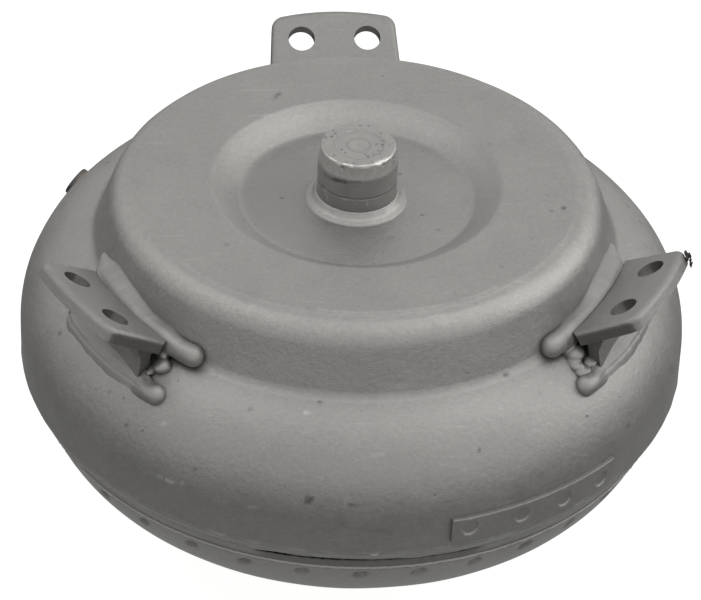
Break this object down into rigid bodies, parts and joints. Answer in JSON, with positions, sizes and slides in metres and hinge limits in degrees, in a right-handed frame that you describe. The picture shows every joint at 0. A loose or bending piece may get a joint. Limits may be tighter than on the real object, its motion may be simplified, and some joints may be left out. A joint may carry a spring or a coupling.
{
  "type": "torque converter",
  "caption": "Welded torque converter with pilot, tilted two-hole drive brackets, slotted pump hub, bladed impeller and turbine, stator on a one-way clutch and lock-up damper clutch.",
  "frame": {"origin": "on the axis of rotation, at the free end face of the pump drive hub", "axes": "+Z along the axis towards the engine side and the pilot; +Y towards the first drive bracket"},
  "size_m": [0.288, 0.2883, 0.1975],
  "materials": {
    "blasted_steel": "shot-blasted bare steel, fine grain, dull",
    "machined_steel": "turned steel, concentric marks",
    "weld_steel": "smooth blasted weld bead",
    "bracket_steel": "shot-blasted pressed plate",
    "strip_steel": "blasted strip, spot-welded",
    "pressed_steel": "pressed steel, oil film",
    "plug_steel": "dark phosphated steel",
    "copper": "soft copper washer",
    "rivet_steel": "upset rivet heads",
    "spring_steel": "oil-tempered wire",
    "seal_polymer": "dark polymer ring",
    "friction_paper": "bonded friction paper",
    "cast_aluminium": "die cast",
    "washer_aluminium": "machined",
    "race_steel": "ground bearing steel",
    "cage_steel": "pressed cage"
  },
  "bodies": {
    "housing": {"front_cover": "blasted_steel", "pilot_boss": "machined_steel", "pilot_weld": "weld_steel", "drive_bracket_1": "bracket_steel", "drive_bracket_2": "bracket_steel", "drive_bracket_3": "bracket_steel", "bracket_upper_welds": "weld_steel", "bracket_lower_welds": "weld_steel", "balance_weight": "strip_steel", "closure_weld": "weld_steel", "impeller_shell": "blasted_steel", "impeller_blades": "pressed_steel", "impeller_core_ring": "pressed_steel", "pump_hub": "machined_steel", "hub_weld": "weld_steel", "drain_plug": "plug_steel", "drain_plug_seal": "copper", "pump_bearing_rear_race": "race_steel", "cover_bearing_front_race": "race_steel"},
    "turbine": {"turbine_shell": "pressed_steel", "turbine_blades": "pressed_steel", "turbine_core_ring": "pressed_steel", "turbine_hub": "machined_steel", "turbine_rivets": "rivet_steel", "damper_driven_disc": "pressed_steel", "damper_disc_rivets": "rivet_steel", "piston_inner_seal": "seal_polymer", "turbine_bearing_front_race": "race_steel", "cover_bearing_rear_race": "race_steel"},
    "damper": {"damper_front_plate": "pressed_steel", "damper_rear_plate": "pressed_steel", "damper_plate_rivets": "rivet_steel", "damper_springs": "spring_steel", "damper_inner_springs": "spring_steel"},
    "lockup_piston": {"lockup_piston": "pressed_steel", "friction_lining": "friction_paper"},
    "stator": {"stator_wheel": "cast_aluminium", "stator_snap_ring": "spring_steel", "stator_rear_washer": "washer_aluminium", "stator_front_washer": "washer_aluminium", "clutch_outer_race": "race_steel", "clutch_rollers": "race_steel", "clutch_springs": "spring_steel", "pump_bearing_front_race": "race_steel", "turbine_bearing_rear_race": "race_steel"},
    "inner_race": {"clutch_inner_race": "race_steel"},
    "pump_bearing": {"pump_bearing_cage": "cage_steel", "pump_bearing_needles": "race_steel"},
    "turbine_bearing": {"turbine_bearing_cage": "cage_steel", "turbine_bearing_needles": "race_steel"},
    "cover_bearing": {"cover_bearing_cage": "cage_steel", "cover_bearing_needles": "race_steel"}
  },
  "joints": [
    {"name": "turbine_spin", "type": "hinge", "parent": "housing", "child": "turbine", "pos_m": [0, 0, 0.12], "axis": [0, 0, 1], "continuous": true},
    {"name": "damper_twist", "type": "hinge", "parent": "turbine", "child": "damper", "pos_m": [0, 0, 0.152], "axis": [0, 0, 1], "range_deg": [-8, 8], "stiffness_Nm_per_rad": 900, "deforming": ["damper_springs", "damper_inner_springs"]},
    {"name": "piston_slide", "type": "slide", "parent": "damper", "child": "lockup_piston", "axis": [0, 0, 1], "range_m": [0, 0.0008]},
    {"name": "stator_race_spin", "type": "hinge", "parent": "housing", "child": "inner_race", "pos_m": [0, 0, 0.092], "axis": [0, 0, 1], "continuous": true},
    {"name": "stator_freewheel", "type": "hinge", "parent": "inner_race", "child": "stator", "pos_m": [0, 0, 0.092], "axis": [0, 0, -1], "range_deg": [0, 3600]},
    {"name": "pump_bearing_roll", "type": "hinge", "parent": "housing", "child": "pump_bearing", "pos_m": [0, 0, 0.0687], "axis": [0, 0, 1], "continuous": true},
    {"name": "turbine_bearing_roll", "type": "hinge", "parent": "housing", "child": "turbine_bearing", "pos_m": [0, 0, 0.1153], "axis": [0, 0, 1], "continuous": true},
    {"name": "cover_bearing_roll", "type": "hinge", "parent": "housing", "child": "cover_bearing", "pos_m": [0, 0, 0.1628], "axis": [0, 0, 1], "continuous": true}
  ],
  "couplings": [
    {"joint": "pump_bearing_roll", "follows": "stator_race_spin", "ratio": 0.5},
    {"joint": "turbine_bearing_roll", "follows": "turbine_spin", "ratio": 0.5},
    {"joint": "cover_bearing_roll", "follows": "turbine_spin", "ratio": 0.5}
  ]
}
